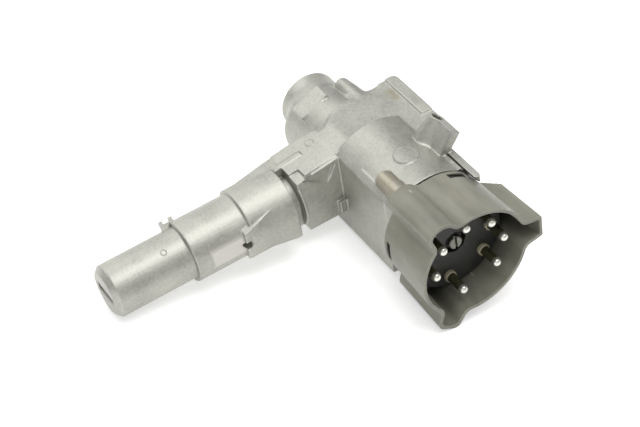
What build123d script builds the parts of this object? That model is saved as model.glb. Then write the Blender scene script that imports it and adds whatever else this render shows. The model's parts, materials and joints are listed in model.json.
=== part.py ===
from build123d import *
import math
import os

os.makedirs("parts", exist_ok=True)

# Steering lock with ignition switch. Millimetres. The barrel lies along X with its plug socket at +X,
# the arm points along -Y, +Z is up, and the origin is where the two axes cross.

# Crank that turns the key's quarter turn into 8 mm of bolt travel
crank_y = 2.909  # crank pin centre at the middle key position
crank_z = -5.588
crank_pin_r = 2.5
slot_y = 2.444  # middle of the slider's slot
slot_width = 6.3

# Clearances
run_gap = 0.05  # radial, turning and sliding fits
seat_gap = 0.1  # pieces pushed into place and held there
free_gap = 0.4  # pieces that must never touch

# Key collar and neck
collar_r = 14.0
collar_end_x = -48.3
collar_round = 1.0
neck_start_x = -44.0
neck_rings = ((-40.5, 15.0, 0.25), (-37.0, 16.8, 0.75))  # x, radius and share of the sideways shift
neck_full_x = -34.5
neck_r = 17.5
neck_y = -3.0  # the neck swells towards the arm
neck_z = -1.2
neck_end_r = 19.5
neck_end_y = -1.0
neck_end_z = -0.4

# Squared middle of the housing
deck_start_x = -16.0
deck_z = 19.5
deck_edge_y = -11.0  # where the deck starts to fall towards the arm
deck_far_y = -14.6  # near edge of the deck beside the bulge
deck_corner_x = -6.0
wall_y = -18.0
wall_low_z = -14.5
strip_y = -18.8  # foot of the strip below the wall
back_y = 20.8
back_low_z = -15.0
belly_z = -25.5
strip_end_x = 45.0
upper_low_z = -11.0  # under side of the squared part behind the socket
belly_y = 12.0
belly_round = 5.0
face_x = 51.0  # housing face behind the plug socket
bulge_r = 24.4
bulge_start_x = 7.0
bulge_round = 0.8
skin_start_x = 24.6  # thin raised skin that wraps the top of the wall
skin_end_x = 45.0
skin_edge_y = -15.5
skin_thick = 0.45
skin_low_z = -6.0

# Wing with rail and ledge
wing_y = 28.4
wing_end_x = 26.0
wing_thick = 6.0
wing_round = 3.0
rail_width = 5.3
rail_height = 0.8
rail_end_x = 13.0
ledge_start_x = 31.0
ledge_slot_y = 16.9
ledge_slot_width = 0.9
ledge_slot_depth = 1.6
outer_rail_end_x = 59.5
outer_rail_width = 3.0
outer_rail_height = 4.2

# Screw ear, measured in a frame turned about X
ear_angle = 52.0  # elevation above +Y
ear_top = 36.4  # end face, from the barrel axis
ear_root = 14.0  # where the ear starts, inside the barrel
ear_boss_x = 27.6
ear_boss_side = -0.6
ear_boss_r = 3.7  # at the end face
ear_boss_root_r = 6.6
ear_end_x = 39.9
ear_front = -2.1
ear_back = 3.2
ear_hole_r = 2.5
ear_hole_depth = 14.0

# Small shapes on the casting
hump_r = 5.3
hump_tip_r = 3.5
hump_y = 9.5
hump_z = 14.9
hump_start_x = -33.5
ramp_start_x = -33.5
ramp_end_x = -24.5
ramp_low_y = -9.0
ramp_side_y = -1.6
ramp_tilt = 24.0
ramp_top = 18.6
disc_r = 5.4
disc_proud = 0.3
disc_x = 34.0
disc_y = 1.0
bead_r = 4.0
bead_y = -12.5
bead_z = 21.2
bead_start_x = 36.0
bead_step_x = 44.5
bead_step = 0.35
tab_width = 2.0
tab_proud = 3.6
tab_low_z = -13.5
tab_high_z = -7.0

# Arm
nose_r = 12.0
nose_end_y = -130.0
nose_chamfer = 2.4
mid_r = 14.0
shoulder_y = -92.4
shoulder_round = 0.5
upper_r = 15.5
upper_start_y = -65.5
upper_end_y = -43.5
plate_x = 15.5
plate_start_y = -69.5
plate_low_z = -7.0
plate_deep_z = -9.8
plate_deep_y = -46.0
wedge_low_z = 7.4
wedge_high_z = 10.2
wedge_end_x = 11.9
wedge_end_y = -54.0
plate_inner_x = 6.0
notch_y = -68.5
notch_z = 0.4
notch_r = 1.9
notch_depth = 6.0
top_z = 14.6
top_end_z = 17.5  # where the arm's flat top meets the barrel
top_edge = ((-6.5, -65.4), (-10.4, -46.0), (-12.0, -34.0), (-13.0, -18.0))
top_near_x = 3.0
top_web_x = 8.2
arm_back_x = -13.0
web_x = 9.5
web_start_y = -39.5
web_low_z = -15.7
web_step_y = -36.5
web_step_z = -9.0
web_hollow = 2.4
hollow_low_z = 5.8
hollow_top_z = 14.2
hollow_outline = ((-36.4, 13.3), (-24.8, hollow_low_z), (-20.0, hollow_top_z), (-34.0, hollow_top_z))
window_half = 2.0
window_x0 = -2.6
window_low_z = 2.0
window_floor_r = 10.2
slit_width = 0.7
slit_low_z = -15.0
rib_r = 14.3  # rounded rim behind the window
rib_thick = 1.3
rib_low_z = -10.0
pad_distance = 13.3
pad_start_y = -85.3
pad_end_y = -70.2
pad_low_z = -3.5
pad_high_z = 6.2
bar_x = -3.95
bar_y0 = -40.7
bar_y1 = -29.0
bar_width = 2.5
bar_proud = 0.5

# Bores of the housing
lock_bore_r = 11.0
lock_bore_end_x = -15.0
journal_r = 6.0
chamber_r = 15.4
chamber_start_x = -10.0
bearing_x = 8.0
switch_bore_r = 16.0
counterbore_r = 20.4
counterbore_x = 52.0
arm_bore_r = 7.8
arm_bore_end_y = -106.6
rear_bore_r = 11.4
cap_thick = 2.8

# Spigot that carries the plug socket
spigot_r = 22.9
spigot_end_x = 57.0
snap_places = (60, 180, 300)
snap_width = 9.0
snap_x = 53.8
snap_length = 2.4
snap_proud = 0.7
snap_gap = 0.35

# Lock cylinder
plug_r = 7.0
plug_head_r = 8.4
plug_front_x = -48.2
plug_head = 1.7
sleeve_front_x = -47.8
sleeve_end_x = -18.5
keyway_width = 2.2
keyway_height = 8.6
keyway_end_x = -19.6
clip_x = -18.3
clip_thick = 0.9
clip_r = 8.6
clip_groove_r = 5.9
tang_start_x = -15.4
tang_length = 4.0
tang_width = 3.2
tang_height = 9.0
sleeve_pin_x = -29.5
sleeve_pin_r = 1.5
sleeve_pin_end = 9.4
sleeve_pin_out = 19.8

# Wafers and their springs
wafer_count = 5
wafer_first_x = -42.0
wafer_pitch = 5.0
wafer_thick = 1.6
wafer_width = 6.2
wafer_r = 6.9
wafer_travel = 0.8
wafer_gap = 0.1
window_width = 3.0
window_height = 7.2
lug_end_y = 5.2
lug_height = 1.2
lug_spring_y = 4.3
lug_spring_r = 0.5
lug_spring_wire = 0.25
lug_spring_length = 2.6
lug_spring_turns = 5

# Driver shaft
web_r = 10.6
web_thick = 2.2
web_inner_x = 3.8
shaft_r = 5.0
thrust_r = 7.6
drive_start_x = 27.6
drive_flat = 3.6
shaft_end_x = 61.0
tail_r = 3.2
tail_end_x = 65.0

# Slider and bolt
slider_thick = 6.0
slider_low_z = -10.7
slider_top_z = 2.6
slider_chamfer = 1.4
fork_half = 5.1
tongue_half = 3.6
tongue_end_y = -14.0
socket_r = 5.6
socket_end_y = -23.0
rod_r = 3.0
rod_back_y = -15.0
rod_front_y = -94.0
rod_pin_r = 1.2
rod_pin_y = -18.5
bolt_width = 14.2
bolt_thick = 4.6
bolt_gap = 0.1
bolt_front_y = -129.1
bolt_head_y = -98.0
bolt_head_length = 10.0
bolt_spring_r = 6.0
bolt_spring_wire = 1.3
bolt_spring_turns = 10
seat_front_y = -46.0
seat_thick = 3.0
seat_ring_thick = 1.2
seat_ring_r = 8.8
seat_ring_inner = 6.4

# Locating catch
catch_angle = -47.2  # direction away from +Z, about Y
catch_y0 = -96.0
catch_y1 = -90.0
catch_half = 1.7
catch_low = 10.9
catch_body = 14.4
catch_top = 16.0
horn_length = 1.3
catch_floor = 8.8
catch_gap = 0.08
catch_spring_r = 0.85
catch_spring_wire = 0.35
catch_spring_top = 13.6
catch_spring_hole = 1.2
catch_spring_turns = 6

# Switch
bearing_thick = 4.0
return_spring_r = 7.4
return_spring_wire = 1.5
return_spring_turns = 6
rotor_hub_r = 8.6
rotor_hub_x = 28.0
rotor_x = 40.0
rotor_end_x = 50.5
rotor_r = 14.9
bridge_places = (24.8, 159.8, -84.0)
bridge_track_r = 11.0
bridge_length = 10.6
bridge_width = 3.4
bridge_thick = 2.2
bridge_pocket_x = 46.0
bridge_spring_r = 1.2
bridge_spring_wire = 0.4
bridge_spring_turns = 4
contact_end_x = 62.2
contact_gap = 0.05  # between bridges and contact feet

# Plug socket
rim_x = 83.0
shroud_x = 51.8
core_base_r = 24.6
core_rim_r = 25.9
base_reach = 31.9
rim_reach = 33.6
lobe_root_half = 8.0
lobe_tip_half = 5.6
square_round = 1.0
lobe_round = 3.6
deck_side_round = 7.0  # on the corner of the upper lobe that looks to the deck
root_round = 4.0
wall = 1.5
chamfer_back = 5.5  # slope behind the squared lobe, along X
chamfer_in = 6.6
floor_x = 62.4
floor_face_x = 68.0
floor_core_r = 22.9
rear_pocket_x = 57.2
lobe_pocket_x = 60.0
recess_r = 5.4  # octagon around the screw, over its corners
recess_x = 64.9
pin_circle_r = 17.0
pin_r = 2.0
pin_tip_x = 80.4
pin_places = (45, 0, -45, -109, 180, 135, 90)
pin_shift = 2.3  # degrees between pin pattern and lobes
foot_width = 3.2
foot_thick = 1.2
foot_inner_r = 8.8
foot_outer_r = 19.0
ring_r = 2.7
ring_end_x = 70.0
screw_head_r = 3.2
screw_face_x = 68.7
screw_r = 1.9
screw_start_x = 57.0
screw_slot = 1.1
washer_r = 4.0
washer_thick = 0.8

lobe_rounds = {
    0: (square_round, square_round),
    120: (deck_side_round, lobe_round),
    -120: (lobe_round, lobe_round),
}
beyond = 200.0  # further out than any piece, for cuts that run right through
low = Align.MIN
mid = Align.CENTER


def rod_x(r, x0, x1, y=0.0, z=0.0):
    return Pos(x0, y, z) * Rot(0, 90, 0) * Cylinder(r, x1 - x0, align=(mid, mid, low))


def rod_y(r, y0, y1, x=0.0, z=0.0):
    return Pos(x, y0, z) * Rot(-90, 0, 0) * Cylinder(r, y1 - y0, align=(mid, mid, low))


def rod_z(r, z0, z1, x=0.0, y=0.0):
    return Pos(x, y, z0) * Cylinder(r, z1 - z0, align=(mid, mid, low))


def block(x0, x1, y0, y1, z0, z1):
    return Pos(x0, y0, z0) * Box(x1 - x0, y1 - y0, z1 - z0, align=(low, low, low))


def tube_x(outer, inner, x0, x1):
    return rod_x(outer, x0, x1) - rod_x(inner, x0 - 1, x1 + 1)


def polygon(points):
    return make_face(Polyline(*points, close=True))


def along_x(outline, x0, x1):
    # outline drawn as (y, z), pushed from x0 to x1
    return Pos(x0, 0, 0) * extrude(Plane.YZ * outline, x1 - x0, dir=(1, 0, 0))


def upright(outline, z0, z1):
    return Pos(0, 0, z0) * extrude(outline, z1 - z0)


def coil(r, wire, length, turns):
    # round wire along +Z from z = 0
    path = Helix(pitch=(length - wire) / turns, height=length - wire, radius=r)
    section = Plane(path @ 0, z_dir=path % 0) * Circle(wire / 2)
    return Pos(0, 0, wire / 2) * sweep(section, path)


def coil_x(r, wire, x0, x1, turns):
    return Pos(x0, 0, 0) * Rot(0, 90, 0) * coil(r, wire, x1 - x0, turns)


def spread(place, piece):
    return Rot(place, 0, 0) * piece


def ear_frame(x, side, height):
    # x along the barrel, side across the ear, height out along it
    a = math.radians(ear_angle)
    y = height * math.cos(a) + side * math.sin(a)
    z = height * math.sin(a) - side * math.cos(a)
    return Plane(origin=(x, y, z), x_dir=(1, 0, 0), z_dir=(0, math.cos(a), math.sin(a)))


def lobed(core, reach, inset=0.0):
    # outline of the plug socket as (y, z): a round with three lobes
    shape = Circle(core - inset)
    for place in lobe_rounds:
        tip = lobe_tip_half - inset
        root = lobe_root_half - inset
        start = core * 0.72
        end = reach - inset
        lobe = polygon([(0, -root), (start, -root), (end, -tip), (end, tip), (start, root), (0, root)])
        for side, size in zip((-1, 1), lobe_rounds[place]):
            corner = lobe.vertices().sort_by_distance((end, side * tip))[0]
            lobe = fillet(corner, max(size - inset / 2, 0.4))
        shape += Rot(0, 0, place) * lobe
    roots = [v for v in shape.vertices() if math.hypot(v.X, v.Y) < core - inset + 0.1]
    return fillet(roots, root_round + inset / 2)


def drafted(x0, outline0, x1, outline1):
    faces = [(Plane.YZ.offset(x0) * outline0).faces()[0], (Plane.YZ.offset(x1) * outline1).faces()[0]]
    return loft(faces, ruled=True)


def housing_outside():
    collar = rod_x(collar_r, collar_end_x, neck_full_x)
    body = fillet(collar.edges().sort_by(Axis.X)[0], collar_round)
    rings = []
    for x, r, part in ((neck_start_x, collar_r, 0), *neck_rings, (neck_full_x, neck_r, 1)):
        rings.append(Plane.YZ.offset(x) * Pos(neck_y * part, neck_z * part) * Circle(r))
    body += loft([ring.faces()[0] for ring in rings])
    body += drafted(neck_full_x, Pos(neck_y, neck_z) * Circle(neck_r), deck_start_x,
                    Pos(neck_end_y, neck_end_z) * Circle(neck_end_r))
    body += rod_x(neck_end_r, deck_start_x, 0, neck_end_y, neck_end_z)

    low_outline = [(strip_y, belly_z), (belly_y, belly_z), (back_y, back_low_z), (back_y, deck_z)]
    near = polygon(low_outline + [(deck_edge_y, deck_z), (wall_y, top_end_z), (wall_y, wall_low_z)])
    crease_z = math.sqrt(bulge_r ** 2 - wall_y ** 2)
    flat = polygon(low_outline + [(deck_far_y, deck_z), (wall_y, crease_z), (wall_y, wall_low_z)])
    rounded = []
    for outline in (near, flat):
        belly = [v for v in outline.vertices() if v.Y < back_low_z + 1 and v.X > 0]
        outline = fillet(belly, belly_round)
        foot = [v for v in outline.vertices() if v.Y < belly_z + 1 and v.X < 0]
        rounded.append(fillet(foot, 1.5))
    near = along_x(rounded[0], deck_start_x, bulge_start_x + 1)
    corner = upright(polygon([(deck_start_x - 1, wall_y - 2), (deck_corner_x, wall_y - 2),
                              (deck_start_x - 1, 0)]), 0, beyond)
    body += near - corner
    body += along_x(rounded[1], bulge_start_x, strip_end_x)
    upper = polygon([(wall_y, upper_low_z), (back_y, upper_low_z), (back_y, deck_z), (deck_far_y, deck_z),
                     (wall_y, crease_z)])
    body += along_x(upper, bulge_start_x, face_x)

    bulge = rod_x(bulge_r, bulge_start_x, face_x)
    bulge = fillet(bulge.edges().sort_by(Axis.X)[0], bulge_round)
    body += bulge & block(0, face_x, wall_y, beyond, -beyond, beyond)
    skin = polygon([(wall_y + 1, skin_low_z), (wall_y, skin_low_z), (wall_y - skin_thick, crease_z),
                    (wall_y - skin_thick, deck_z + 2), (skin_edge_y, deck_z + 2), (skin_edge_y, deck_z - 4)])
    body += along_x(skin, skin_start_x, skin_end_x) & rod_x(bulge_r + skin_thick, 0, face_x)

    # wing, rail, ledge and the rail that runs on beside the socket
    wing = block(deck_start_x, wing_end_x, back_y - 4, wing_y, deck_z - wing_thick, deck_z)
    corner = wing.edges().filter_by(Axis.Z).sort_by(Axis.Y)[-2:].sort_by(Axis.X)[0]
    body += fillet(corner, wing_round)
    rail = block(deck_start_x, rail_end_x, wing_y - rail_width, wing_y, deck_z - 1, deck_z + rail_height)
    corner = rail.edges().filter_by(Axis.Z).sort_by(Axis.Y)[-2:].sort_by(Axis.X)[0]
    body += fillet(corner, wing_round)
    outer = block(face_x - 6, outer_rail_end_x, back_y - outer_rail_width, back_y,
                  deck_z - outer_rail_height, deck_z)
    outer = fillet(outer.edges().filter_by(Axis.Z).sort_by(Axis.X)[-2:], 1.2)
    body += outer - rod_x(core_rim_r - 0.4, face_x, outer_rail_end_x + 1)
    body -= block(ledge_start_x, face_x + 1, ledge_slot_y, ledge_slot_y + ledge_slot_width,
                  deck_z - ledge_slot_depth, deck_z + 1)

    # screw ear: tapered boss with a flat tongue beside it
    height = ear_top - ear_root
    boss = Pos(ear_boss_x, ear_boss_side) * Cone(ear_boss_root_r, ear_boss_r, height, align=(mid, mid, low))
    tongue = block(ear_boss_x, ear_end_x, ear_front, ear_back, 0, height)
    ear = (boss + tongue) & block(0, beyond, -beyond, ear_back, 0, height)
    body += ear_frame(0, 0, ear_root) * ear

    # hump, key ramp, disc, bead and tab
    tip_x = hump_start_x + hump_tip_r
    cone = Cone(hump_tip_r, hump_r, deck_start_x + 2 - tip_x, align=(mid, mid, low))
    body += Pos(tip_x, hump_y, hump_z) * Rot(0, 90, 0) * cone
    body += Pos(tip_x, hump_y, hump_z) * Sphere(hump_tip_r)
    ramp = Rot(ramp_tilt, 0, 0) * block(ramp_start_x, ramp_end_x, ramp_low_y, collar_r, collar_r - 4,
                                        ramp_top)
    body += ramp & block(ramp_start_x, ramp_end_x, -beyond, ramp_side_y, 0, beyond)
    disc = Pos(disc_x, disc_y, switch_bore_r) * Cylinder(disc_r, bulge_r, align=(mid, mid, low))
    body += disc & rod_x(bulge_r + disc_proud, 20, face_x)
    bead = rod_x(bead_r, bead_start_x, face_x, bead_y, bead_z)
    body += fillet(bead.edges().sort_by(Axis.X)[0], bead_r * 0.3)
    body += rod_x(bead_r + bead_step, bead_step_x, face_x, bead_y, bead_z)
    body += block(web_x - 1, web_x + tab_width, wall_y - tab_proud, wall_y + 1, tab_low_z, tab_high_z)
    return body


def arm_outside():
    nose = rod_y(nose_r, nose_end_y, shoulder_y + 1)
    arm = chamfer(nose.edges().sort_by(Axis.Y)[0], nose_chamfer)
    middle = rod_y(mid_r, shoulder_y, upper_start_y + 1)
    arm += fillet(middle.edges().sort_by(Axis.Y)[0], shoulder_round)
    pad_cut = block(pad_distance, mid_r + 1, pad_start_y, pad_end_y, pad_low_z, pad_high_z)
    arm -= pad_cut
    arm += rod_y(upper_r, upper_start_y, upper_end_y)

    # vertical plate beside the arch
    plate = polygon([(plate_start_y, plate_low_z), (plate_deep_y - 12, plate_low_z),
                     (plate_deep_y, plate_deep_z), (upper_end_y, plate_deep_z), (upper_end_y, 0),
                     (plate_start_y, 0)])
    arm += along_x(plate, plate_inner_x, plate_x)
    wedge = polygon([(plate_inner_x, plate_start_y), (plate_x, plate_start_y), (wedge_end_x, wedge_end_y),
                     (plate_inner_x, wedge_end_y)])
    wedge_side = polygon([(plate_start_y, -0.5), (wedge_end_y, -0.5), (wedge_end_y, wedge_high_z),
                          (plate_start_y, wedge_low_z)])
    arm += upright(wedge, -1, 20) & along_x(wedge_side, 0, plate_x + 1)
    arm -= rod_x(notch_r, plate_x - notch_depth, plate_x + 1, notch_y, notch_z)

    # flat top that widens towards the barrel, with the squared far side
    points = list(top_edge) + [(top_web_x, wall_y), (top_web_x, web_start_y), (top_near_x, web_start_y),
                               (top_near_x, upper_start_y + 0.1)]
    arm += upright(polygon(points), 4 - top_z, top_z)
    slope = polygon([(web_start_y, 8), (web_start_y, top_z - 0.02), (wall_y + 3, top_end_z),
                     (wall_y + 3, 8)])
    arm += along_x(slope, arm_back_x + 1.2, top_web_x)
    corner = block(top_near_x, top_web_x + 1, web_start_y - 1, web_start_y + 5, 0, beyond)
    arm -= corner - rod_y(rib_r, web_start_y - 2, web_start_y + 6)

    # web between arm and barrel
    side = polygon([(web_start_y, web_step_z), (web_step_y, web_low_z), (wall_y + 2, web_low_z),
                    (wall_y + 2, top_end_z - 0.6), (web_start_y, top_z - 1.2)])
    web = along_x(side, arm_back_x, web_x)
    web += rod_y(mid_r, upper_end_y - 1, wall_y + 4) & block(-beyond, web_x, -beyond, 0, -beyond, beyond)
    hollow = polygon(hollow_outline)
    lean = Plane.XZ * polygon([(web_x, hollow_low_z), (web_x + 1, hollow_low_z),
                               (web_x + 1, hollow_top_z + 1), (web_x - web_hollow, hollow_top_z)])
    web -= along_x(hollow, 0, web_x + 1) & (Pos(0, -40, 0) * extrude(lean, 30, dir=(0, 1, 0)))
    rib = rod_y(rib_r, web_start_y, web_start_y + rib_thick)
    web += rib & block(0, beyond, -beyond, 0, rib_low_z, beyond)
    arm += web

    # slot window across the arm and the slit that runs down from it
    window_end_y = upper_end_y + 2 * window_half
    window = block(window_x0, plate_x + 1, upper_end_y, window_end_y, window_low_z, beyond)
    window += block(0, plate_x + 1, window_end_y - slit_width, window_end_y, slit_low_z, window_low_z + 1)
    arm -= window - rod_y(window_floor_r, upper_end_y - 1, window_end_y + 1)

    # bar on the flat top, level with its slope
    rise = (top_end_z - top_z) / (wall_y + 3 - web_start_y) * (bar_y1 - web_start_y)
    high_z = top_z + bar_proud
    bar = polygon([(bar_y0, top_z - 1), (bar_y0, high_z), (web_start_y, high_z), (bar_y1, high_z + rise),
                   (bar_y1, top_z - 1)])
    arm += along_x(bar, bar_x - bar_width / 2, bar_x + bar_width / 2)
    return arm


def housing():
    body = housing_outside() + arm_outside()
    for place in snap_places:
        lug = block(snap_x, snap_x + snap_length, spigot_r - 1.4, spigot_r + snap_proud,
                    -snap_width / 2, snap_width / 2)
        body += spread(place, lug)
    body += tube_x(spigot_r, counterbore_r, face_x - 1, spigot_end_x)

    body -= rod_x(lock_bore_r, collar_end_x - 1, lock_bore_end_x)
    body -= rod_x(journal_r + run_gap, lock_bore_end_x - 1, chamber_start_x + 1)
    body -= rod_x(chamber_r, chamber_start_x, bearing_x + 1)
    body -= rod_x(switch_bore_r, bearing_x, counterbore_x + 1)
    body -= rod_x(counterbore_r, counterbore_x, spigot_end_x + 1)
    body -= rod_y(arm_bore_r, arm_bore_end_y, 0)
    body -= rod_y(rear_bore_r, 0, back_y + 10)
    groove_y = seat_front_y + seat_thick
    body -= rod_y(seat_ring_r + seat_gap, groove_y, groove_y + seat_ring_thick + 0.2)
    half_w = bolt_width / 2 + bolt_gap
    half_t = bolt_thick / 2 + bolt_gap
    body -= block(-half_w, half_w, nose_end_y - 1, arm_bore_end_y + 1, -half_t, half_t)

    body -= ear_frame(ear_boss_x, ear_boss_side, ear_top - ear_hole_depth) * Cylinder(
        ear_hole_r, ear_hole_depth + 1, align=(mid, mid, low))
    body -= rod_z(sleeve_pin_r, -30, -9, sleeve_pin_x)
    pocket = block(-catch_half - catch_gap, catch_half + catch_gap, catch_y0 - catch_gap,
                   catch_y1 + catch_gap, catch_floor, 20)
    body -= Rot(0, catch_angle, 0) * pocket
    return body


def lock_sleeve():
    body = tube_x(lock_bore_r - seat_gap, plug_r + run_gap, sleeve_front_x, sleeve_end_x)
    body -= rod_x(plug_head_r + run_gap, sleeve_front_x - 1, plug_front_x + plug_head + 0.05)
    body -= rod_z(sleeve_pin_r, -12, -sleeve_pin_end, sleeve_pin_x)
    return body


def wafer_x(i):
    return wafer_first_x + i * wafer_pitch


def lock_plug():
    body = rod_x(plug_r, plug_front_x + 1, tang_start_x)
    head = rod_x(plug_head_r, plug_front_x, plug_front_x + plug_head)
    body += chamfer(head.edges().sort_by(Axis.X)[0], 0.5)
    body -= tube_x(plug_r + 1, clip_groove_r, clip_x - run_gap, clip_x + clip_thick + run_gap)
    body += block(tang_start_x - 0.5, tang_start_x + tang_length, -tang_width / 2, tang_width / 2,
                  -tang_height / 2, tang_height / 2)
    body -= block(plug_front_x - 1, keyway_end_x, -keyway_width / 2, keyway_width / 2,
                  -keyway_height / 2, keyway_height / 2)
    for i in range(wafer_count):
        half = wafer_thick / 2 + wafer_gap
        x = wafer_x(i)
        side = wafer_width / 2 + wafer_gap
        body -= block(x - half, x + half, -side, side, -8, 8)
        body -= block(x - half, x + half, 0, lug_end_y + wafer_gap, -lug_spring_length, lug_height + 0.2)
    return body


def wafer(i):
    x = wafer_x(i)
    half = wafer_thick / 2
    body = block(x - half, x + half, -wafer_width / 2, wafer_width / 2, -8, 8)
    body &= rod_x(wafer_r, x - 2, x + 2)
    body &= rod_x(wafer_r, x - 2, x + 2, 0, wafer_travel)
    body += block(x - half, x + half, 0, lug_end_y, 0, lug_height)
    rise = 0.3 * (i % 3)
    body -= block(x - 2, x + 2, -window_width / 2, window_width / 2,
                  -window_height / 2 + rise, window_height / 2 + rise)
    return body


def wafer_spring(i):
    spring = coil(lug_spring_r, lug_spring_wire, lug_spring_length - 0.02, lug_spring_turns)
    return Pos(wafer_x(i), lug_spring_y, -lug_spring_length + 0.01) * spring


def plug_clip():
    body = tube_x(clip_r, clip_groove_r + run_gap, clip_x, clip_x + clip_thick)
    return body - block(clip_x - 1, clip_x + 2, -3.4, 3.4, 0, 12)


def sleeve_pin():
    return rod_z(sleeve_pin_r - run_gap, -sleeve_pin_out, -sleeve_pin_end, sleeve_pin_x)


def driver_shaft():
    body = rod_x(journal_r, lock_bore_end_x + 0.1, chamber_start_x + 0.2)
    body += rod_x(thrust_r, chamber_start_x + 0.1, -web_inner_x - web_thick)
    body += rod_x(web_r, -web_inner_x - web_thick, -web_inner_x)
    body += rod_x(crank_pin_r, -web_inner_x, web_inner_x, crank_y, crank_z)
    body += rod_x(web_r, web_inner_x, web_inner_x + web_thick)
    body += rod_x(thrust_r, web_inner_x + web_thick, bearing_x - 0.1)
    body += rod_x(shaft_r, bearing_x - 0.2, shaft_end_x)
    body -= block(drive_start_x, shaft_end_x + 1, drive_flat, shaft_r + 1, -6, 6)
    body -= block(drive_start_x, shaft_end_x + 1, -shaft_r - 1, -drive_flat, -6, 6)
    body += rod_x(tail_r, shaft_end_x, tail_end_x)
    body -= rod_x(screw_r + run_gap, screw_start_x - 0.5, tail_end_x + 1)
    side = tang_width / 2 + seat_gap
    height = tang_height / 2 + seat_gap
    body -= block(lock_bore_end_x, tang_start_x + tang_length + 0.3, -side, side, -height, height)
    return body


def bearing_plate():
    body = rod_x(switch_bore_r - seat_gap, bearing_x, bearing_x + bearing_thick)
    return body - rod_x(shaft_r + run_gap, bearing_x - 1, bearing_x + bearing_thick + 1)


def slider():
    half = slider_thick / 2
    y0 = slot_y - fork_half
    y1 = slot_y + fork_half
    outline = polygon([(y0, slider_low_z), (y1, slider_low_z), (y1, slider_top_z), (y0, slider_top_z)])
    body = along_x(chamfer(outline.vertices().sort_by(Axis.Y)[:2], slider_chamfer), -half, half)
    body += block(-half, half, tongue_end_y - 1, y0 + 1, -tongue_half, slider_top_z)
    body -= block(-half - 1, half + 1, slot_y - slot_width / 2, slot_y + slot_width / 2,
                  crank_z - crank_pin_r - 1.0, slider_top_z + 1)
    body += rod_y(socket_r, socket_end_y, tongue_end_y)
    body -= rod_y(rod_r + run_gap, socket_end_y - 1, rod_back_y + 0.1)
    body -= rod_z(rod_pin_r, -10, 10, 0, rod_pin_y)
    return body


def bolt_rod():
    return rod_y(rod_r, rod_front_y, rod_back_y) - rod_z(rod_pin_r, -10, 10, 0, rod_pin_y)


def rod_pin():
    return rod_z(rod_pin_r - run_gap, -socket_r + 0.2, socket_r - 0.2, 0, rod_pin_y)


def bolt():
    half = bolt_thick / 2
    blade = block(-bolt_width / 2, bolt_width / 2, bolt_front_y, bolt_head_y + 1, -half, half)
    body = chamfer(blade.edges().filter_by(Axis.X).sort_by(Axis.Y)[:2], 0.8)
    body += rod_y(arm_bore_r - run_gap, bolt_head_y, bolt_head_y + bolt_head_length)
    return body - rod_y(rod_r + run_gap, rod_front_y - 0.1, bolt_head_y + bolt_head_length + 1)


def bolt_spring():
    y0 = bolt_head_y + bolt_head_length
    spring = coil(bolt_spring_r, bolt_spring_wire, seat_front_y - y0 - 0.04, bolt_spring_turns)
    return Pos(0, y0 + 0.02, 0) * Rot(-90, 0, 0) * spring


def spring_seat():
    body = rod_y(arm_bore_r - seat_gap, seat_front_y, seat_front_y + seat_thick)
    return body - rod_y(rod_r + free_gap, seat_front_y - 1, seat_front_y + seat_thick + 1)


def seat_ring():
    y0 = seat_front_y + seat_thick + 0.05
    body = rod_y(seat_ring_r, y0, y0 + seat_ring_thick) - rod_y(seat_ring_inner, y0 - 1, y0 + 3)
    return body - block(-1.6, 1.6, y0 - 1, y0 + 3, 0, 12)


def rear_cap():
    body = rod_y(rear_bore_r - seat_gap, back_y - cap_thick, back_y)
    return body - rod_y(rear_bore_r - 3, back_y - 0.8, back_y + 1)


def locating_catch():
    body = block(-catch_half, catch_half, catch_y0, catch_y1, catch_low, catch_body)
    body += block(-catch_half, catch_half, catch_y0, catch_y0 + horn_length, catch_body, catch_top)
    body += block(-catch_half, catch_half, catch_y1 - horn_length, catch_y1, catch_body, catch_top)
    middle = (catch_y0 + catch_y1) / 2
    body -= rod_z(catch_spring_hole, catch_low - 1, catch_spring_top, 0, middle)
    return Rot(0, catch_angle, 0) * body


def catch_spring():
    length = catch_spring_top - catch_floor - 0.04
    spring = coil(catch_spring_r, catch_spring_wire, length, catch_spring_turns)
    return Rot(0, catch_angle, 0) * Pos(0, (catch_y0 + catch_y1) / 2, catch_floor + 0.02) * spring


def return_spring():
    x0 = bearing_x + bearing_thick + 0.02
    return coil_x(return_spring_r, return_spring_wire, x0, rotor_hub_x - 0.02, return_spring_turns)


def bridge_block(place, x0, x1, grow):
    half = bridge_length / 2 + grow
    side = bridge_width / 2 + grow
    return spread(place, block(x0, x1, bridge_track_r - side, bridge_track_r + side, -half, half))


def rotor():
    body = rod_x(rotor_hub_r, rotor_hub_x, rotor_x + 1) + rod_x(rotor_r, rotor_x, rotor_end_x)
    bore = rod_x(shaft_r + run_gap, rotor_hub_x - 1, rotor_end_x + 1)
    flats = block(rotor_hub_x - 1, rotor_end_x + 1, -drive_flat - run_gap, drive_flat + run_gap, -6, 6)
    body -= bore & flats
    for place in bridge_places:
        body -= bridge_block(place, bridge_pocket_x, rotor_end_x + 1, seat_gap)
    return body


def bridge(place):
    end = counterbore_x - contact_gap
    return bridge_block(place, end - bridge_thick, end, 0)


def bridge_spring(place):
    end = counterbore_x - contact_gap - bridge_thick - 0.02
    spring = coil_x(bridge_spring_r, bridge_spring_wire, bridge_pocket_x + 0.02, end, bridge_spring_turns)
    return spread(place, Pos(0, bridge_track_r, 0) * spring)


def pin_foot(place, gap):
    half = foot_width / 2 + gap
    foot = block(counterbore_x - gap, counterbore_x + foot_thick + gap, foot_inner_r - gap,
                 foot_outer_r + gap, -half, half)
    return spread(place + pin_shift, foot)


def pin_shank(place, r, x0, x1):
    return spread(place + pin_shift, rod_x(r, x0, x1, pin_circle_r))


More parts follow.
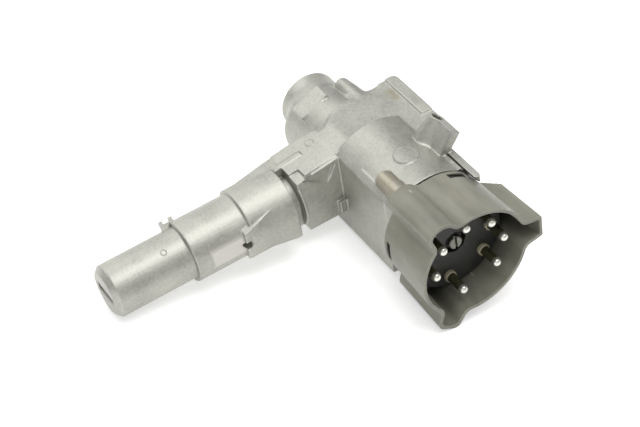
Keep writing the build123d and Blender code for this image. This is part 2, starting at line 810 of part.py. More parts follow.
def contact_plate():
    body = rod_x(counterbore_r - seat_gap, counterbore_x, contact_end_x)
    body -= rod_x(shaft_r + free_gap, counterbore_x - 1, contact_end_x + 1)
    for place in pin_places:
        body -= pin_foot(place, seat_gap)
        body -= pin_shank(place, pin_r + run_gap, counterbore_x, contact_end_x + 1)
    return body


def pin(place):
    foot = pin_foot(place, 0)
    shank = rod_x(pin_r, counterbore_x + 0.2, pin_tip_x, pin_circle_r)
    shank = fillet(shank.edges().sort_by(Axis.X)[-1], pin_r - 0.15)
    return foot + spread(place + pin_shift, shank)


def pin_collar(place):
    ring = rod_x(ring_r, floor_face_x, ring_end_x, pin_circle_r)
    ring = chamfer(ring.edges().sort_by(Axis.X)[-1], 0.5)
    ring -= rod_x(pin_r + run_gap, floor_face_x - 1, ring_end_x + 1, pin_circle_r)
    return spread(place + pin_shift, ring)


def connector_shroud():
    body = drafted(shroud_x, lobed(core_base_r, base_reach), rim_x, lobed(core_rim_r, rim_reach))
    start = (lobe_pocket_x - shroud_x) / (rim_x - shroud_x)
    core = core_base_r + (core_rim_r - core_base_r) * start
    reach = base_reach + (rim_reach - base_reach) * start
    hollow = drafted(lobe_pocket_x, lobed(core, reach, wall), rim_x + 0.01, lobed(core_rim_r, rim_reach, wall))
    body -= hollow - rod_x(floor_core_r, lobe_pocket_x - 1, floor_face_x)
    body -= rod_x(spigot_r + seat_gap, shroud_x - 1, rear_pocket_x)
    body -= rod_x(counterbore_r + seat_gap, rear_pocket_x - 1, floor_x)
    body -= rod_x(tail_r + run_gap, floor_x - 1, recess_x + 1)
    body -= along_x(RegularPolygon(recess_r, 8), recess_x, floor_face_x + 1)
    for place in pin_places:
        body -= pin_shank(place, pin_r + run_gap, floor_x - 1, floor_face_x + 1)
    for place in snap_places:
        gap = snap_gap
        window = block(snap_x - gap, snap_x + snap_length + gap, spigot_r - 2, core_rim_r + 4,
                       -snap_width / 2 - gap, snap_width / 2 + gap)
        body -= spread(place, window)
    wedge = upright(polygon([(shroud_x - 1, beyond), (shroud_x - 1, base_reach - chamfer_in),
                             (shroud_x, base_reach - chamfer_in), (shroud_x + chamfer_back, base_reach + 0.4),
                             (shroud_x + chamfer_back, beyond)]), -rim_reach / 3, rim_reach / 3)
    body -= wedge
    return body


def shaft_washer():
    return tube_x(washer_r, screw_r + 0.2, tail_end_x, tail_end_x + washer_thick)


def shaft_screw():
    seat = tail_end_x + washer_thick
    body = rod_x(screw_r, screw_start_x, seat + 0.5)
    head = rod_x(screw_head_r, seat, screw_face_x)
    body += chamfer(head.edges().sort_by(Axis.X)[-1], 0.4)
    return body - block(screw_face_x - 1.2, screw_face_x + 1, -screw_slot / 2, screw_slot / 2, -5, 5)


pieces = {
    "housing": housing(),
    "lock_sleeve": lock_sleeve(),
    "lock_plug": lock_plug(),
    "plug_clip": plug_clip(),
    "sleeve_pin": sleeve_pin(),
    "driver_shaft": driver_shaft(),
    "bearing_plate": bearing_plate(),
    "slider": slider(),
    "bolt_rod": bolt_rod(),
    "rod_pin": rod_pin(),
    "bolt": bolt(),
    "bolt_spring": bolt_spring(),
    "spring_seat": spring_seat(),
    "seat_ring": seat_ring(),
    "rear_cap": rear_cap(),
    "locating_catch": locating_catch(),
    "catch_spring": catch_spring(),
    "return_spring": return_spring(),
    "rotor": rotor(),
    "contact_plate": contact_plate(),
    "connector_shroud": connector_shroud(),
    "shaft_screw": shaft_screw(),
    "shaft_washer": shaft_washer(),
}
for i in range(wafer_count):
    pieces[f"wafer_{i + 1}"] = wafer(i)
    pieces[f"wafer_spring_{i + 1}"] = wafer_spring(i)
for i, place in enumerate(bridge_places):
    pieces[f"bridge_{i + 1}"] = bridge(place)
    pieces[f"bridge_spring_{i + 1}"] = bridge_spring(place)
for i, place in enumerate(pin_places):
    pieces[f"pin_{i + 1}"] = pin(place)
    pieces[f"pin_collar_{i + 1}"] = pin_collar(place)

for name, piece in pieces.items():
    export_step(piece, f"parts/{name}.step")
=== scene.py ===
import bpy
import json
import math
from mathutils import Matrix, Vector


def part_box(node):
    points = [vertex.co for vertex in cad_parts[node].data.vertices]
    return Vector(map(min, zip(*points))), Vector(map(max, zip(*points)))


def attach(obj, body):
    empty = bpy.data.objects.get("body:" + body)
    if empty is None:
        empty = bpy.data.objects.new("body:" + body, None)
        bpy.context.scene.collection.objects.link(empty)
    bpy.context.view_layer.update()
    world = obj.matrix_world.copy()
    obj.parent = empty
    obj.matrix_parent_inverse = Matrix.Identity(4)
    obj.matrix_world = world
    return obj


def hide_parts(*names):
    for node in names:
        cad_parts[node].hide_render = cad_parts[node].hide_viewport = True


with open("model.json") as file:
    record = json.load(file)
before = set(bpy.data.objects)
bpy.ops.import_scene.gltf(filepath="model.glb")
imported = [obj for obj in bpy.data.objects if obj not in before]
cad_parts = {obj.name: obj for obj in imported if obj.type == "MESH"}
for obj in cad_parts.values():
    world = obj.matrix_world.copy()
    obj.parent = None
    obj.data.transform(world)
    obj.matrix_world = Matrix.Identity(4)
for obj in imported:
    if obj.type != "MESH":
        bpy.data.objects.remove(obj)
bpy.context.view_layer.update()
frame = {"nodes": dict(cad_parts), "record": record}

nodes = frame["nodes"]


def linearColor(hexText):
    # sRGB hex to the linear values that the sockets want
    out = []
    for i in (0, 2, 4):
        c = int(hexText[i:i + 2], 16) / 255
        out.append(c / 12.92 if c <= 0.04045 else ((c + 0.055) / 1.055) ** 2.4)
    return (*out, 1.0)


def addNode(tree, kind, inputs=None, stops=(), **settings):
    # one node with its settings; an input takes a value, a hex colour, or the node or socket that feeds it
    node = tree.nodes.new(kind)
    column, row = len(tree.nodes) % 8, len(tree.nodes) // 8
    node.location = (220 * column, -280 * row)  # spread out for the node editor
    for name, value in settings.items():
        setattr(node, name, value)
    elements = node.color_ramp.elements if stops else []
    while len(elements) < len(stops):
        elements.new(0.5)
    for element, (spot, tone) in zip(elements, stops):
        element.position = spot
        element.color = linearColor(tone)
    for key, value in (inputs or {}).items():
        socket = node.inputs[key]
        if isinstance(value, bpy.types.Node):
            value = value.outputs[0]
        if isinstance(value, bpy.types.NodeSocket):
            tree.links.new(value, socket)
        elif isinstance(value, str) and socket.type == "RGBA":
            socket.default_value = linearColor(value)
        else:
            socket.default_value = value
    return node


def addObject(name, data):
    item = bpy.data.objects.new(name, data)
    bpy.context.scene.collection.objects.link(item)
    return item


def emptyMaterial(name):
    material = bpy.data.materials.new(name)
    material.use_nodes = True
    material.node_tree.nodes.clear()
    return material, material.node_tree


def between(fromLow, fromHigh, low, high):
    # inputs 1 to 4 of a Map Range node
    return {1: fromLow, 2: fromHigh, 3: low, 4: high}


def grainPattern(tree, pattern, stretch=(1, 1, 1)):
    # noise on the piece itself, pattern is (features per metre, octaves, roughness)
    scale, octaves, rough = pattern
    coords = addNode(tree, "ShaderNodeTexCoord")
    mapping = addNode(tree, "ShaderNodeMapping", {"Vector": coords.outputs["Object"], "Scale": stretch})
    return addNode(tree, "ShaderNodeTexNoise", {
        "Vector": mapping, "Scale": scale, "Detail": octaves, "Roughness": rough,
    })


def layered(tree, color, layers):
    # tones laid over a colour, each through its mask
    for mask, tone in layers:
        mix = addNode(tree, "ShaderNodeMix", {0: mask, 6: color, 7: tone}, data_type="RGBA")
        color = mix.outputs[2]
    return color


def relief(tree, bumps):
    # bumps in a row, each (height, strength, depth in metres)
    normal = None
    for height, strength, depth in bumps:
        inputs = {"Height": height, "Strength": strength, "Distance": depth}
        if normal:
            inputs["Normal"] = normal
        normal = addNode(tree, "ShaderNodeBump", inputs)
    return normal


def paintedShadeMask(tree, reach, fade):
    # painted shade: strong in gaps and inner corners, where the ambient occlusion finds little light getting in
    shade = addNode(tree, "ShaderNodeAmbientOcclusion", {"Distance": reach}, samples=8)
    hidden = addNode(tree, "ShaderNodeMath", {0: 1.0, 1: shade.outputs["AO"]}, operation="SUBTRACT")
    return addNode(tree, "ShaderNodeMapRange", {0: hidden, **between(*fade)})


def ringMask(tree, centre, direction, radius, width, reach):
    # 1 on a thin ring round a line through centre, used for cast marks
    axis = Vector(direction).normalized()
    coords = addNode(tree, "ShaderNodeTexCoord")
    away = addNode(tree, "ShaderNodeVectorMath", {0: coords.outputs["Object"], 1: centre}, operation="SUBTRACT")
    dot = addNode(tree, "ShaderNodeVectorMath", {0: away, 1: axis}, operation="DOT_PRODUCT")
    along = dot.outputs["Value"]
    scaled = addNode(tree, "ShaderNodeVectorMath", {0: axis, "Scale": along}, operation="SCALE")
    across = addNode(tree, "ShaderNodeVectorMath", {0: away, 1: scaled}, operation="SUBTRACT")
    length = addNode(tree, "ShaderNodeVectorMath", {0: across}, operation="LENGTH")
    off = addNode(tree, "ShaderNodeMath", {0: length.outputs["Value"], 1: radius}, operation="SUBTRACT")
    size = addNode(tree, "ShaderNodeMath", {0: off}, operation="ABSOLUTE")
    ring = addNode(tree, "ShaderNodeMapRange", {0: size, **between(0.0, width, 1.0, 0.0)})
    near = addNode(tree, "ShaderNodeMath", {0: along}, operation="ABSOLUTE")
    close = addNode(tree, "ShaderNodeMath", {0: near, 1: reach}, operation="LESS_THAN")
    return addNode(tree, "ShaderNodeMath", {0: ring, 1: close}, operation="MULTIPLY")


def boxMask(tree, centre, half, fade):
    # 1 inside a box and falling to 0 over the fade outside it
    coords = addNode(tree, "ShaderNodeTexCoord")
    away = addNode(tree, "ShaderNodeVectorMath", {0: coords.outputs["Object"], 1: centre}, operation="SUBTRACT")
    size = addNode(tree, "ShaderNodeVectorMath", {0: away}, operation="ABSOLUTE")
    split = addNode(tree, "ShaderNodeSeparateXYZ", {0: size})
    mask = None
    for distance, edge in zip(split.outputs, half):
        side = addNode(tree, "ShaderNodeMapRange", {0: distance, **between(edge, edge + fade, 1.0, 0.0)})
        mask = addNode(tree, "ShaderNodeMath", {0: mask, 1: side}, operation="MULTIPLY") if mask else side
    return mask


castLook = {
    # the lightest tone brightens worn edges, partly as a painted highlight; the darkest is painted shade for gaps
    # and creases
    "light": "bebeb5", "mid": "b1b1a9", "dark": "a1a199", "speck": "8c8c82",
    "edge": "cfcfc6", "paintedShadeTone": "34342d", "metallic": 0.86,
    # features per metre, octaves, roughness
    "cloud": (55, 4, 0.62),  # flow marks about 18 mm wide
    "mottle": (900, 3, 0.6),  # pits about 1 mm apart
    "grain": (2600, 2, 0.5),  # blasted skin, about 0.4 mm
    "wave": (190, 3, 0.5),  # uneven skin, about 5 mm
    "cloudShare": 0.55, "mottleShare": 0.45, "toneStops": (0.36, 0.5, 0.64),
    # from low, from high, to low, to high
    "speckFade": (0.27, 0.34, 0.35, 0.0),
    "edgeWearAndHighlightFade": (0.52, 0.57, 0.0, 0.15),
    "creaseShadeFade": (0.43, 0.49, 0.55, 0.0),
    "paintedShadeFade": (0.35, 0.95, 0.0, 0.85), "paintedShadeReach": 0.0022,
    "roughFade": (0.36, 0.64, 0.42, 0.54),
    # strength and depth of the bumps
    "grainBump": (0.25, 0.00006), "mottleBump": (0.3, 0.00008),
    "waveBump": (0.35, 0.0003), "ringBump": (0.5, 0.0003), "ringReach": 0.004,
}
castRings = {
    # marks left by ejectors: centre, direction, radius, line width
    "disc": ((0.034, 0.001, 0.024), (0, 0, 1), 0.0052, 0.0004),
    "nose": ((0.00522, -0.10254, 0.01081), (0.435, 0, 0.9), 0.0012, 0.0003),
    "top": ((-0.0062, -0.0229, 0.0165), (0, 0, 1), 0.0018, 0.0003),
}
castPatches = {
    # places of another tone: centre, half size, fade, colour, amount
    "stain": ((-0.006, 0.0205, 0.0195), (0.003, 0.0006, 0.003), 0.0022, "968a62", 0.38),
    "bead": ((0.0435, -0.0125, 0.0222), (0.0075, 0.0035, 0.003), 0.0012, "a89b80", 0.45),
    # the pad is a machined flat, lighter as its own tone and partly as a painted highlight where it catches the
    # light
    "pad": ((0.0145, -0.0778, 0.0013), (0.0015, 0.0072, 0.0045), 0.0006, "d6d2cc", 0.6),
}


def castMetal():
    # die-cast zinc-aluminium: matt silver skin, flow clouds, small pits, edges lightened as wear and partly as
    # painted highlight, painted shade in corners and creases
    look = castLook
    material, tree = emptyMaterial("dieCastMetal")
    cloud, mottle, grain, wave = (grainPattern(tree, look[key]) for key in ("cloud", "mottle", "grain", "wave"))
    mottlePart = addNode(tree, "ShaderNodeMath", {0: mottle, 1: look["mottleShare"]}, operation="MULTIPLY")
    cloudPart = addNode(tree, "ShaderNodeMath", {0: cloud, 1: look["cloudShare"]}, operation="MULTIPLY")
    blend = addNode(tree, "ShaderNodeMath", {0: mottlePart, 1: cloudPart}, operation="ADD")
    tones = list(zip(look["toneStops"], (look["dark"], look["mid"], look["light"])))
    skin = addNode(tree, "ShaderNodeValToRGB", {0: blend}, stops=tones)
    speck = addNode(tree, "ShaderNodeMapRange", {0: mottle, **between(*look["speckFade"])})
    layers = [(speck, look["speck"])]
    for centre, half, fade, tone, amount in castPatches.values():
        mask = boxMask(tree, centre, half, fade)
        faint = addNode(tree, "ShaderNodeMath", {0: mask, 1: amount}, operation="MULTIPLY")
        layers.append((faint, tone))
    pointed = addNode(tree, "ShaderNodeNewGeometry").outputs["Pointiness"]
    # worn edges lightened, partly as a painted highlight where edges catch the light
    edgeWearAndHighlight = addNode(tree, "ShaderNodeMapRange", {0: pointed, **between(*look["edgeWearAndHighlightFade"])})
    # painted shade: concave creases and gaps darkened where shade falls
    creaseShade = addNode(tree, "ShaderNodeMapRange", {0: pointed, **between(*look["creaseShadeFade"])})
    gap = paintedShadeMask(tree, look["paintedShadeReach"], look["paintedShadeFade"])
    paintedShade = addNode(tree, "ShaderNodeMath", {0: creaseShade, 1: gap}, operation="MAXIMUM")
    layers += [(edgeWearAndHighlight, look["edge"]), (paintedShade, look["paintedShadeTone"])]
    rings = None
    for centre, direction, radius, width in castRings.values():
        ring = ringMask(tree, centre, direction, radius, width, look["ringReach"])
        rings = addNode(tree, "ShaderNodeMath", {0: rings, 1: ring}, operation="ADD") if rings else ring
    shader = addNode(tree, "ShaderNodeBsdfPrincipled", {
        "Base Color": layered(tree, skin, layers),
        "Metallic": look["metallic"],
        "Roughness": addNode(tree, "ShaderNodeMapRange", {0: blend, **between(*look["roughFade"])}),
        "Normal": relief(tree, [
            (grain, *look["grainBump"]), (mottle, *look["mottleBump"]),
            (wave, *look["waveBump"]), (rings, *look["ringBump"]),
        ]),
    })
    addNode(tree, "ShaderNodeOutputMaterial", {"Surface": shader})
    return material


# grain is the fine skin of the mould, 0.7 to 1.1 mm, and reach is how far corners darken
socketLook = {
    "dark": "717065", "base": "828174", "light": "929184", "edge": "bab9ad", "deep": "1b1b18",
    "rough": (0.32, 0.48), "grain": (1400, 3, 0.6), "reach": 0.012,
}
# near black, for the socket floor and as painted shade on the snap lugs
nearBlackFloorAndLugShadeLook = {
    "dark": "171815", "base": "20211d", "light": "2a2b26", "edge": "3a3b35", "deep": "0c0c0a",
    "rough": (0.45, 0.6), "grain": (1400, 3, 0.6), "reach": 0.006,
}
switchLook = {
    "dark": "262520", "base": "2f2e2a", "light": "3a3833", "edge": "4a4842", "deep": "141310",
    "rough": (0.35, 0.5), "grain": (1200, 3, 0.6), "reach": 0.004,
}
collarLook = {
    "dark": "8f8a70", "base": "a8a389", "light": "bbb69e", "edge": "cbc7b2", "deep": "2e2c22",
    "rough": (0.45, 0.6), "grain": (900, 3, 0.6), "reach": 0.002,
}
plasticLook = {
    # what all four mouldings share
    "cloud": (90, 3, 0.55), "stretch": (0.35, 1, 1),  # flow marks, longer along the barrel
    "wide": (140, 2, 0.5),  # sink marks about 7 mm wide
    "toneStops": (0.3, 0.5, 0.72), "edgeWearAndHighlightFade": (0.52, 0.58, 0.0, 0.6),
    "paintedShadeFade": (0.35, 0.95, 0.0, 0.9), "roughFrom": (0.3, 0.7), "ior": 1.53,
    "fineBump": (0.2, 0.00005), "wideBump": (0.3, 0.0002),
}


def mouldedPlastic(name, look):
    # glass-filled polyamide: faint flow marks, satin, darker where light hardly gets in
    shared = plasticLook
    material, tree = emptyMaterial(name)
    cloud = grainPattern(tree, shared["cloud"], shared["stretch"])
    fine = grainPattern(tree, look["grain"])
    wide = grainPattern(tree, shared["wide"])
    tones = list(zip(shared["toneStops"], (look["dark"], look["base"], look["light"])))
    skin = addNode(tree, "ShaderNodeValToRGB", {0: cloud}, stops=tones)
    pointed = addNode(tree, "ShaderNodeNewGeometry").outputs["Pointiness"]
    # worn edges lightened, and on the rims a painted highlight
    edgeWearAndHighlight = addNode(tree, "ShaderNodeMapRange", {0: pointed, **between(*shared["edgeWearAndHighlightFade"])})
    # painted shade: darker in gaps and deep inside, where little light gets in
    paintedShade = paintedShadeMask(tree, look["reach"], shared["paintedShadeFade"])
    shader = addNode(tree, "ShaderNodeBsdfPrincipled", {
        "Base Color": layered(tree, skin, [(edgeWearAndHighlight, look["edge"]), (paintedShade, look["deep"])]),
        "Roughness": addNode(tree, "ShaderNodeMapRange", {
            0: fine, **between(*shared["roughFrom"], *look["rough"]),
        }),
        "IOR": shared["ior"],
        "Normal": relief(tree, [(fine, *shared["fineBump"]), (wide, *shared["wideBump"])]),
    })
    addNode(tree, "ShaderNodeOutputMaterial", {"Surface": shader})
    return material


metalLooks = {
    # light and dark tone, roughness, metallic, and a stretch that below 1 makes the marks longer that way
    "groundSteel": ("b4b3ae", "8d8c87", (0.28, 0.42), 1.0, (1, 0.15, 1)),
    "screwSteel": ("9a9a92", "77776f", (0.34, 0.5), 0.9, (1, 1, 0.3)),
    "springWire": ("8f8e88", "6c6b66", (0.3, 0.45), 1.0, (1, 1, 1)),
    "stampedBrass": ("c9a867", "a5854a", (0.28, 0.42), 1.0, (1, 1, 1)),
    "machinedZinc": ("a9a8a1", "8d8c85", (0.35, 0.5), 0.9, (1, 1, 1)),
    "darkWasher": ("3a3934", "282722", (0.4, 0.55), 0.7, (1, 1, 1)),
}
metalPlan = {
    # what the small metal pieces share
    "marks": (500, 3, 0.6),  # tool marks about 2 mm long
    "toneFrom": (0.3, 0.7), "paintedShadeTone": "1c1b18", "paintedShadeReach": 0.0015,
    "paintedShadeFade": (0.4, 0.95, 0.0, 0.85), "marksBump": (0.15, 0.00004),
}


def plainMetal(name):
    # machined or drawn metal with fine marks along one direction
    light, dark, rough, metallic, stretch = metalLooks[name]
    material, tree = emptyMaterial(name)
    marks = grainPattern(tree, metalPlan["marks"], stretch)
    skin = addNode(tree, "ShaderNodeValToRGB", {0: marks}, stops=list(zip(metalPlan["toneFrom"], (dark, light))))
    # painted shade: darker in gaps and tight corners
    paintedShade = paintedShadeMask(tree, metalPlan["paintedShadeReach"], metalPlan["paintedShadeFade"])
    shader = addNode(tree, "ShaderNodeBsdfPrincipled", {
        "Base Color": layered(tree, skin, [(paintedShade, metalPlan["paintedShadeTone"])]),
        "Metallic": metallic,
        "Roughness": addNode(tree, "ShaderNodeMapRange", {0: marks, **between(*metalPlan["toneFrom"], *rough)}),
        "Normal": relief(tree, [(marks, *metalPlan["marksBump"])]),
    })
    addNode(tree, "ShaderNodeOutputMaterial", {"Surface": shader})
    return material


pinLook = {
    "tip": "e4e3da", "shaft": "75735a", "dark": "56543c", "metallic": 0.85,
    "tipFade": (0.0774, 0.0782, 0.0, 1.0),  # where the bright dome begins along x
    "tarnish": (700, 3, 0.6),  # spots about 1.4 mm wide
    "toneStops": (0.3, 0.7), "tarnishBump": (0.15, 0.00005), "roughFade": (0.0, 1.0, 0.42, 0.25),
}


def pinMetal():
    # brass contact pin: tarnished olive shaft, bright tinned dome
    look = pinLook
    material, tree = emptyMaterial("pinMetal")
    coords = addNode(tree, "ShaderNodeTexCoord")
    split = addNode(tree, "ShaderNodeSeparateXYZ", {0: coords.outputs["Object"]})
    tip = addNode(tree, "ShaderNodeMapRange", {0: split.outputs["X"], **between(*look["tipFade"])})
    tarnish = grainPattern(tree, look["tarnish"])
    tones = list(zip(look["toneStops"], (look["dark"], look["shaft"])))
    shaft = addNode(tree, "ShaderNodeValToRGB", {0: tarnish}, stops=tones)
    shader = addNode(tree, "ShaderNodeBsdfPrincipled", {
        "Base Color": layered(tree, shaft, [(tip, look["tip"])]),
        "Metallic": look["metallic"],
        "Roughness": addNode(tree, "ShaderNodeMapRange", {0: tip, **between(*look["roughFade"])}),
        "Normal": relief(tree, [(tarnish, *look["tarnishBump"])]),
    })
    addNode(tree, "ShaderNodeOutputMaterial", {"Surface": shader})
    return material


print("materials")
castSkin = castMetal()
socketPlastic = mouldedPlastic("socketPolyamide", socketLook)
# near black: the socket floor's colour, and painted shade on the snap lugs of the casting
nearBlackFloorAndLugShade = mouldedPlastic("socketFloor", nearBlackFloorAndLugShadeLook)
collarPlastic = mouldedPlastic("pinCollarPlastic", collarLook)
slotMaterials = {
    "casting": castSkin, "zinc": plainMetal("machinedZinc"), "steel": plainMetal("groundSteel"),
    "spring_steel": plainMetal("springWire"), "brass": plainMetal("stampedBrass"),
    "plastic": mouldedPlastic("switchPolyamide", switchLook), "pin_metal": pinMetal(), "seal": collarPlastic,
}


def paint(nodeName, material):
    piece = nodes[nodeName]
    if not piece.material_slots:
        piece.data.materials.append(material)
    for item in piece.material_slots:
        item.material = material


def paintNodes():
    for entry in frame["record"]["subparts"]:
        if entry["node"] in nodes:
            paint(entry["node"], slotMaterials[entry["material_slot"]])
    paint("shaft_screw", plainMetal("screwSteel"))
    paint("shaft_washer", plainMetal("darkWasher"))
    paint("locating_catch", castSkin)  # the catch shows the same light metal as the casting


paintNodes()

shellPlans = {
    # voxel size, rounds of smoothing, most triangles, and boxes that are smoothed more
    "housing": {
        "voxel": 0.00033, "smooth": 2, "triangles": 197000,
        "soft": {
            "rounds": 20, "regions": [
                ((0.021, 0.011, 0.014), (0.041, 0.0160, 0.0225)),  # root of the ear
                ((-0.0350, -0.012, 0.012), (-0.0235, 0.000, 0.021)),  # key ramp
                ((-0.0350, 0.003, 0.012), (-0.0160, 0.016, 0.022)),  # hump
            ],
        },
        "melted": {
            "rounds": 150, "regions": [
                ((-0.0210, -0.016, 0.011), (-0.0120, 0.018, 0.022)),  # neck to deck
                ((-0.0170, -0.0215, 0.011), (0.0060, -0.0090, 0.022)),  # deck falling to the flat top
                ((0.0290, 0.0115, 0.019), (0.0330, 0.0185, 0.030)),  # between boss and tongue of the ear
            ],
        },
    },
    "connector_shroud": {
        "voxel": 0.00028, "smooth": 2, "triangles": 160000,
        "soft": {
            "rounds": 14, "regions": [
                ((0.0505, -0.036, -0.036), (0.0545, 0.036, 0.036)),  # rear ends
            ],
        },
    },
}
shellTools = {"weld": 0.00001, "quickVoxel": 1.6, "smoothing": 0.5, "regionFade": 0.0015}


def evaluated(source, name):
    # the shape of source after its modifiers as a plain object, source removed
    graph = bpy.context.evaluated_depsgraph_get()
    mesh = bpy.data.meshes.new_from_object(source.evaluated_get(graph))
    mesh.name = name
    piece = addObject(name, mesh)
    bpy.data.objects.remove(source)
    return piece


def regionWeight(place, region):
    # 1 in a box and fading over 1.5 mm outside it
    weight = 1.0
    for value, low, high in zip(place, *region):
        out = max(low - value, value - high, 0.0) / shellTools["regionFade"]
        weight *= max(0.0, 1.0 - out)
    return weight


def addSmooth(work, name, rounds):
    smooth = work.modifiers.new(name, "SMOOTH")
    smooth.factor = shellTools["smoothing"]
    smooth.iterations = rounds
    return smooth


def softenRegions(work, kind, plan):
    # extra rounds of smoothing inside the boxes of the plan
    group = work.vertex_groups.new(name=kind)
    for vertex in work.data.vertices:
        weight = max(regionWeight(vertex.co, region) for region in plan["regions"])
        if weight > 0:
            group.add([vertex.index], weight, "REPLACE")
    addSmooth(work, kind, plan["rounds"]).vertex_group = kind


def softenedShell(nodeName, name, materials):
    # welded copy of the solid, remeshed so that edges and seams round off, then thinned
    plan = shellPlans[nodeName]
    copy = addObject(name + "Work", nodes[nodeName].data.copy())
    copy.modifiers.new("weld", "WELD").merge_threshold = shellTools["weld"]
    remesh = copy.modifiers.new("remesh", "REMESH")
    remesh.mode = "VOXEL"
    remesh.voxel_size = plan["voxel"] * 1.0
    work = evaluated(copy, name + "Remeshed")
    addSmooth(work, "smooth", plan["smooth"])
    for kind in ("soft", "melted"):
        if kind in plan:
            softenRegions(work, kind, plan[kind])
    count = len(work.data.polygons) * 2  # the voxel remesh makes quads
    if count > plan["triangles"]:
        work.modifiers.new("thin", "DECIMATE").ratio = plan["triangles"] / count
    piece = evaluated(work, name)
    piece.vertex_groups.clear()
    piece.data.materials.clear()
    for material in materials:
        piece.data.materials.append(material)
    piece.data.shade_smooth()
    print(name, "has", count, "triangles before thinning and", len(piece.data.polygons), "faces after")
    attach(piece, "frame")
    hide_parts(nodeName)
    return piece


snapPlan = {"radius": 0.02297, "start": 0.0530, "end": 0.0568, "places": (60, 180, 300), "reach": 13}
socketFloor = {"radius": 0.0231, "start": 0.0600, "end": 0.0683}


def onSnapLug(x, radius, turn):
    # the lugs behind the windows of the socket get the near-black plastic as painted shade, because the windows
    # look black from outside
    if not snapPlan["start"] < x < snapPlan["end"] or radius <= snapPlan["radius"]:
        return False
    return any(abs(turn - place) < snapPlan["reach"] for place in snapPlan["places"])


def onSocketFloor(x, radius, turn):
    return socketFloor["start"] < x < socketFloor["end"] and radius < socketFloor["radius"]


def setNearBlackFaces(shell, takesNearBlack):
    # second material, the near-black one, on the faces that the given test picks by place along, radius and turn
    # round the barrel
    for polygon in shell.data.polygons:
        x, y, z = polygon.center
        if takesNearBlack(x, math.hypot(y, z), math.degrees(math.atan2(z, y)) % 360):
            polygon.material_index = 1


housingShell = softenedShell("housing", "housingShell", [castSkin, nearBlackFloorAndLugShade])
# painted shade: the snap lugs behind the socket windows go near black
setNearBlackFaces(housingShell, onSnapLug)
socketShell = softenedShell("connector_shroud", "socketShell", [socketPlastic, nearBlackFloorAndLugShade])
setNearBlackFaces(socketShell, onSocketFloor)
print("shells done")

collarPlan = {
    "names": [f"pin_collar_{i}" for i in range(1, 8)],
    "outer": 0.0027, "inner": 0.00205, "start": 0.0680, "length": 0.0020, "rounding": 0.00022,
    "steps": 48, "cornerSteps": 4, "sharpAngle": 40,
}
collarInputs = {"Outer": "outer", "Inner": "inner", "Length": "length", "Rounding": "rounding"}


def collarTree(material):
    # seven rings: a rounded square swept round a circle, placed on the seven points that come in
    tree = bpy.data.node_groups.new("pinCollarRings", "GeometryNodeTree")
    tree.interface.new_socket("Geometry", in_out="INPUT", socket_type="NodeSocketGeometry")
    for label in collarInputs:
        tree.interface.new_socket(label, in_out="INPUT", socket_type="NodeSocketFloat")
    tree.interface.new_socket("Geometry", in_out="OUTPUT", socket_type="NodeSocketGeometry")
    sizes = addNode(tree, "NodeGroupInput").outputs
    total = addNode(tree, "ShaderNodeMath", {0: sizes["Outer"], 1: sizes["Inner"]}, operation="ADD")
    middle = addNode(tree, "ShaderNodeMath", {0: total, 1: 0.5}, operation="MULTIPLY")
    wide = addNode(tree, "ShaderNodeMath", {0: sizes["Outer"], 1: sizes["Inner"]}, operation="SUBTRACT")
    path = addNode(tree, "GeometryNodeCurvePrimitiveCircle", {"Resolution": collarPlan["steps"], "Radius": middle})
    section = addNode(tree, "GeometryNodeCurvePrimitiveQuadrilateral", {"Width": wide, "Height": sizes["Length"]})
    rounded = addNode(tree, "GeometryNodeFilletCurve", {
        "Curve": section, "Count": collarPlan["cornerSteps"], "Radius": sizes["Rounding"],
    }, mode="POLY")
    sweep = addNode(tree, "GeometryNodeCurveToMesh", {"Curve": path, "Profile Curve": rounded})
    spread = addNode(tree, "GeometryNodeInstanceOnPoints", {
        "Points": sizes["Geometry"], "Instance": sweep, "Rotation": (0, math.pi / 2, 0),
    })
    real = addNode(tree, "GeometryNodeRealizeInstances", {0: spread})
    coat = addNode(tree, "GeometryNodeSetMaterial", {"Geometry": real, "Material": material})
    addNode(tree, "NodeGroupOutput", {0: coat})
    return tree


def buildCollars():
    points = []
    for name in collarPlan["names"]:
        low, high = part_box(name)
        middle = (Vector(low) + Vector(high)) / 2
        points.append((collarPlan["start"] + collarPlan["length"] / 2, middle.y, middle.z))
    mesh = bpy.data.meshes.new("collarPoints")
    mesh.from_pydata(points, [], [])
    work = addObject("collarWork", mesh)
    tree = collarTree(collarPlastic)
    rings = work.modifiers.new("rings", "NODES")
    rings.node_group = tree
    for item in tree.interface.items_tree:
        if item.in_out == "INPUT" and item.name in collarInputs:
            rings[item.identifier] = collarPlan[collarInputs[item.name]]
    piece = evaluated(work, "pinCollars")
    piece.data.shade_smooth()
    piece.data.set_sharp_from_angle(angle=math.radians(collarPlan["sharpAngle"]))
    print("collars", len(piece.data.polygons), "faces", [round(v * 1000, 2) for v in piece.dimensions])
    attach(piece, "frame")
    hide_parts(*collarPlan["names"])


buildCollars()
print("collars done")

floorPlan = {
    "up": (0.048, 0.1288, 0.9905), "drop": -0.0283, "half": 3.0,  # square to up, that far from the origin
    "tone": "f4f4f4", "rough": 0.9, "specular": 0.1,
    "glow": 0.42, "mirrored": 0.36,  # added for the camera and for reflections
}


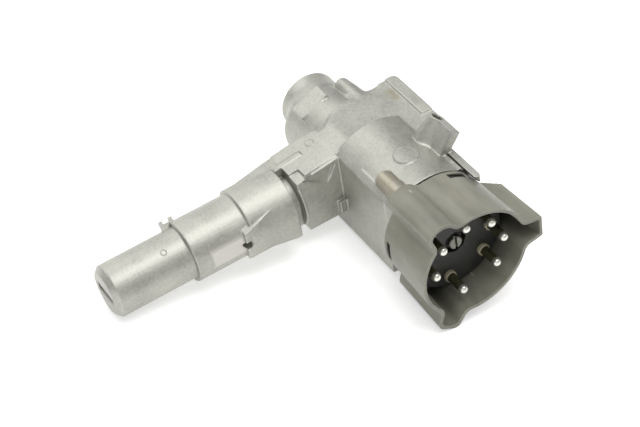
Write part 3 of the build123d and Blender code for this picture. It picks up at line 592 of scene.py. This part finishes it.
def buildFloor():
    up = Vector(floorPlan["up"]).normalized()
    across = Vector((1, 0, 0)).cross(up).normalized()
    along = up.cross(across).normalized()
    centre, half = up * floorPlan["drop"], floorPlan["half"]
    corners = [centre + across * a * half + along * b * half for a, b in ((-1, -1), (-1, 1), (1, 1), (1, -1))]
    mesh = bpy.data.meshes.new("floor")
    mesh.from_pydata(corners, [], [(0, 1, 2, 3)])
    floor = addObject("floor", mesh)
    material, tree = emptyMaterial("paleFloor")
    rays = addNode(tree, "ShaderNodeLightPath").outputs
    seen = addNode(tree, "ShaderNodeMath", {
        0: rays["Is Camera Ray"], 1: floorPlan["glow"],
    }, operation="MULTIPLY")
    mirrored = addNode(tree, "ShaderNodeMath", {
        0: rays["Is Glossy Ray"], 1: floorPlan["mirrored"],
    }, operation="MULTIPLY")
    strength = addNode(tree, "ShaderNodeMath", {0: seen, 1: mirrored}, operation="ADD")
    glow = addNode(tree, "ShaderNodeEmission", {"Color": (1, 1, 1, 1), "Strength": strength})
    paper = addNode(tree, "ShaderNodeBsdfPrincipled", {
        "Base Color": floorPlan["tone"], "Roughness": floorPlan["rough"],
        "Specular IOR Level": floorPlan["specular"],
    })
    total = addNode(tree, "ShaderNodeAddShader", {0: paper, 1: glow})
    addNode(tree, "ShaderNodeOutputMaterial", {"Surface": total})
    mesh.materials.append(material)


buildFloor()

lampPlan = {
    # name: direction from the object, distance, size, watts
    "keyLamp": ((0.20, 0.22, 0.94), 1.1, 0.75, 6.4),
    "leftLamp": ((-0.66, -0.10, 0.72), 1.2, 1.00, 4.4),
    "sideLamp": ((0.9, -0.9, 0.5), 1.3, 0.9, 1.2),
    "rimLamp": ((-0.95, 0.15, -0.02), 1.2, 0.7, 1.2),
}
lampAim = (0.02, -0.04, 0)


def buildLamps():
    for name, (direction, distance, size, watts) in lampPlan.items():
        data = bpy.data.lights.new(name, "AREA")
        data.shape = "SQUARE"
        data.size = size
        data.energy = watts
        lamp = addObject(name, data)
        lamp.location = Vector(direction).normalized() * distance + Vector(lampAim)
        lamp.rotation_euler = (-Vector(direction)).to_track_quat("-Z", "Y").to_euler()


buildLamps()

worldPlan = {"soft": 0.57, "white": 1.0}


def buildWorld():
    # even light all round, plain white for what the camera sees directly
    world = bpy.data.worlds.new("studioWorld")
    bpy.context.scene.world = world
    world.use_nodes = True
    tree = world.node_tree
    tree.nodes.clear()
    rays = addNode(tree, "ShaderNodeLightPath").outputs
    soft, white = (
        addNode(tree, "ShaderNodeBackground", {"Color": (1, 1, 1, 1), "Strength": worldPlan[key]})
        for key in ("soft", "white")
    )
    mix = addNode(tree, "ShaderNodeMixShader", {0: rays["Is Camera Ray"], 1: soft, 2: white})
    addNode(tree, "ShaderNodeOutputWorld", {"Surface": mix})


buildWorld()

cameraPlan = {
    "right": (0.52796, 0.83945, -0.12877), "up": (-0.54901, 0.45304, 0.70238), "back": (0.64795, -0.30013, 0.70005),
    "distance": 0.8147322, "sideways": 0.0199489, "lift": 0.0254970,
    "lens": 105.0, "sensor": 36.0, "clipStart": 0.01,
}


def buildCamera():
    right, up, back = (Vector(cameraPlan[key]).normalized() for key in ("right", "up", "back"))
    data = bpy.data.cameras.new("camera")
    data.lens = cameraPlan["lens"]
    data.sensor_width = cameraPlan["sensor"]
    data.clip_start = cameraPlan["clipStart"]
    camera = addObject("camera", data)
    place = back * cameraPlan["distance"] - right * cameraPlan["sideways"] - up * cameraPlan["lift"]
    rows = [(right[i], up[i], back[i], place[i]) for i in range(3)]
    camera.matrix_world = Matrix((*rows, (0, 0, 0, 1)))
    bpy.context.scene.camera = camera


buildCamera()
bpy.context.scene.view_settings.view_transform = "Standard"
print("stage done")
